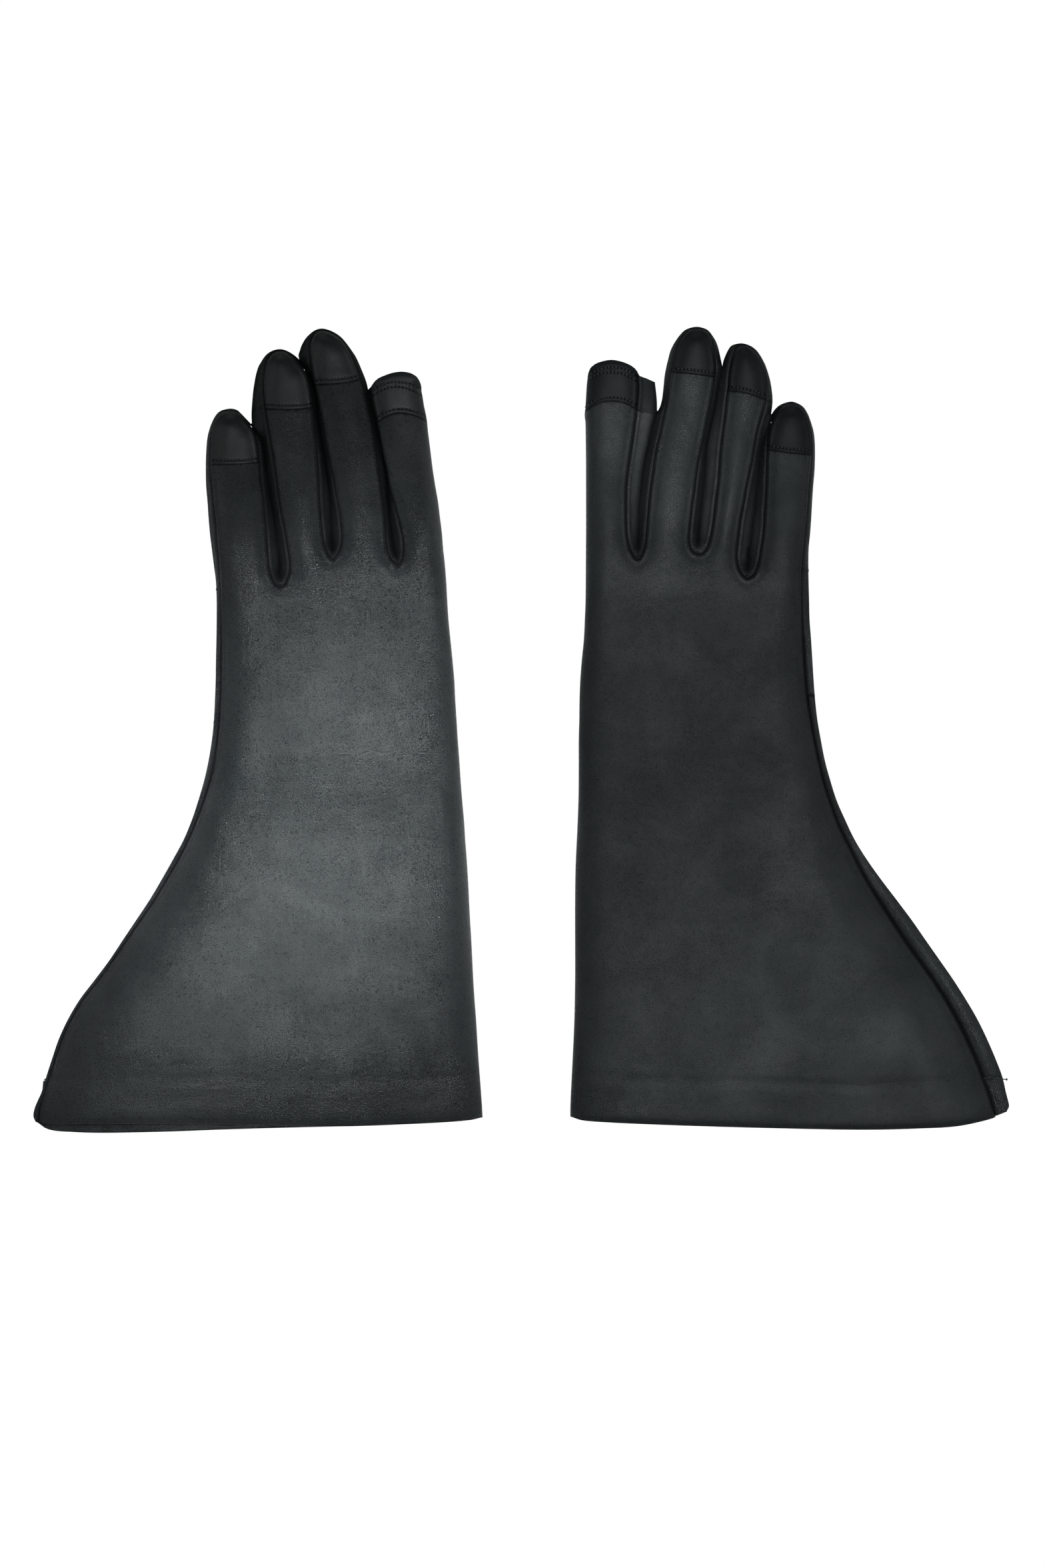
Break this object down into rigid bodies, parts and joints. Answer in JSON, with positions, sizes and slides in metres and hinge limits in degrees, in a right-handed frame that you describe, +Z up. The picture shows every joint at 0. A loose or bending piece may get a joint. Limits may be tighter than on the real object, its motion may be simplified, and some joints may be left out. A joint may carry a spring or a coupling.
{
  "type": "leather gauntlet gloves",
  "caption": "Pair of long black leather gauntlet gloves lying palm down, thumbs tucked under, with bending wrists, curling fingers and open index fingertips.",
  "frame": {"origin": "on the table, under the middle of the pair as it lies flat, palm down", "axes": "+X along the pair, from the left glove to the right glove; +Y from the cuffs to the fingertips; +Z up off the table, out of the backs of the hands"},
  "size_m": [0.3882, 0.321, 0.0174],
  "materials": {
    "black_leather": "semi-matt grained leather with a soft sheen",
    "tip_leather": "smoother, more matt leather",
    "thread": "matt sewing thread"
  },
  "bodies": {
    "left_gauntlet": {"left_gauntlet_back": "black_leather", "left_gauntlet_palm": "black_leather", "left_cuff_tack": "thread"},
    "left_hand": {"left_hand_back": "black_leather", "left_palm": "black_leather"},
    "left_thumb": {"left_thumb_top": "black_leather", "left_thumb_underside": "black_leather"},
    "left_pinky": {"left_pinky_back": "black_leather", "left_pinky_tip": "tip_leather", "left_pinky_front": "black_leather", "left_pinky_stitching": "thread", "left_pinky_fourchette": "black_leather"},
    "left_ring": {"left_ring_back": "black_leather", "left_ring_tip": "tip_leather", "left_ring_front": "black_leather", "left_ring_stitching": "thread", "left_ring_fourchette_outer": "black_leather", "left_ring_fourchette_inner": "black_leather"},
    "left_middle": {"left_middle_back": "black_leather", "left_middle_tip": "tip_leather", "left_middle_front": "black_leather", "left_middle_stitching": "thread", "left_middle_fourchette_outer": "black_leather", "left_middle_fourchette_inner": "black_leather"},
    "left_index": {"left_index_back": "black_leather", "left_index_end_band": "tip_leather", "left_index_front": "black_leather", "left_index_stitching": "thread", "left_index_fourchette": "black_leather"},
    "right_gauntlet": {"right_gauntlet_back": "black_leather", "right_gauntlet_palm": "black_leather", "right_cuff_tack": "thread"},
    "right_hand": {"right_hand_back": "black_leather", "right_palm": "black_leather"},
    "right_thumb": {"right_thumb_top": "black_leather", "right_thumb_underside": "black_leather"},
    "right_pinky": {"right_pinky_back": "black_leather", "right_pinky_tip": "tip_leather", "right_pinky_front": "black_leather", "right_pinky_stitching": "thread", "right_pinky_fourchette": "black_leather"},
    "right_ring": {"right_ring_back": "black_leather", "right_ring_tip": "tip_leather", "right_ring_front": "black_leather", "right_ring_stitching": "thread", "right_ring_fourchette_outer": "black_leather", "right_ring_fourchette_inner": "black_leather"},
    "right_middle": {"right_middle_back": "black_leather", "right_middle_tip": "tip_leather", "right_middle_front": "black_leather", "right_middle_stitching": "thread", "right_middle_fourchette_outer": "black_leather", "right_middle_fourchette_inner": "black_leather"},
    "right_index": {"right_index_back": "black_leather", "right_index_end_band": "tip_leather", "right_index_front": "black_leather", "right_index_stitching": "thread", "right_index_fourchette": "black_leather"}
  },
  "joints": [
    {"name": "left_wrist_bend", "type": "hinge", "parent": "left_gauntlet", "child": "left_hand", "pos_m": [-0.075, 0.0025, 0.00735], "axis": [-1, 0, 0], "range_deg": [-25, 50]},
    {"name": "left_pinky_curl", "type": "hinge", "parent": "left_hand", "child": "left_pinky", "pos_m": [-0.1085, 0.064, 0.00735], "axis": [-0.9944, -0.1058, 0], "range_deg": [0, 65]},
    {"name": "left_ring_curl", "type": "hinge", "parent": "left_hand", "child": "left_ring", "pos_m": [-0.0856, 0.072, 0.00735], "axis": [-0.9924, -0.1232, 0], "range_deg": [0, 65]},
    {"name": "left_middle_curl", "type": "hinge", "parent": "left_hand", "child": "left_middle", "pos_m": [-0.063, 0.075, 0.00735], "axis": [-0.9808, -0.1951, 0], "range_deg": [0, 65]},
    {"name": "left_index_curl", "type": "hinge", "parent": "left_hand", "child": "left_index", "pos_m": [-0.041, 0.074, 0.00735], "axis": [-0.9895, -0.1443, 0], "range_deg": [0, 65]},
    {"name": "left_thumb_swing", "type": "hinge", "parent": "left_hand", "child": "left_thumb", "pos_m": [-0.0515, 0.017, 0.0033], "axis": [0, 0, -1], "range_deg": [0, 80]},
    {"name": "pair_spacing", "type": "slide", "parent": "left_gauntlet", "child": "right_gauntlet", "axis": [1, 0, 0], "range_m": [0, 0.1]},
    {"name": "right_wrist_bend", "type": "hinge", "parent": "right_gauntlet", "child": "right_hand", "pos_m": [0.07, 0.013, 0.00735], "axis": [-1, 0, 0], "range_deg": [-25, 50]},
    {"name": "right_pinky_curl", "type": "hinge", "parent": "right_hand", "child": "right_pinky", "pos_m": [0.1023, 0.067, 0.00735], "axis": [-0.9968, 0.08, 0], "range_deg": [0, 65]},
    {"name": "right_ring_curl", "type": "hinge", "parent": "right_hand", "child": "right_ring", "pos_m": [0.0804, 0.074, 0.00735], "axis": [-0.9962, 0.0868, 0], "range_deg": [0, 65]},
    {"name": "right_middle_curl", "type": "hinge", "parent": "right_hand", "child": "right_middle", "pos_m": [0.0588, 0.077, 0.00735], "axis": [-0.9914, 0.1307, 0], "range_deg": [0, 65]},
    {"name": "right_index_curl", "type": "hinge", "parent": "right_hand", "child": "right_index", "pos_m": [0.036, 0.076, 0.00735], "axis": [-0.9982, 0.0599, 0], "range_deg": [0, 65]},
    {"name": "right_thumb_swing", "type": "hinge", "parent": "right_hand", "child": "right_thumb", "pos_m": [0.047, 0.027, 0.0033], "axis": [0, 0, 1], "range_deg": [0, 80]}
  ]
}
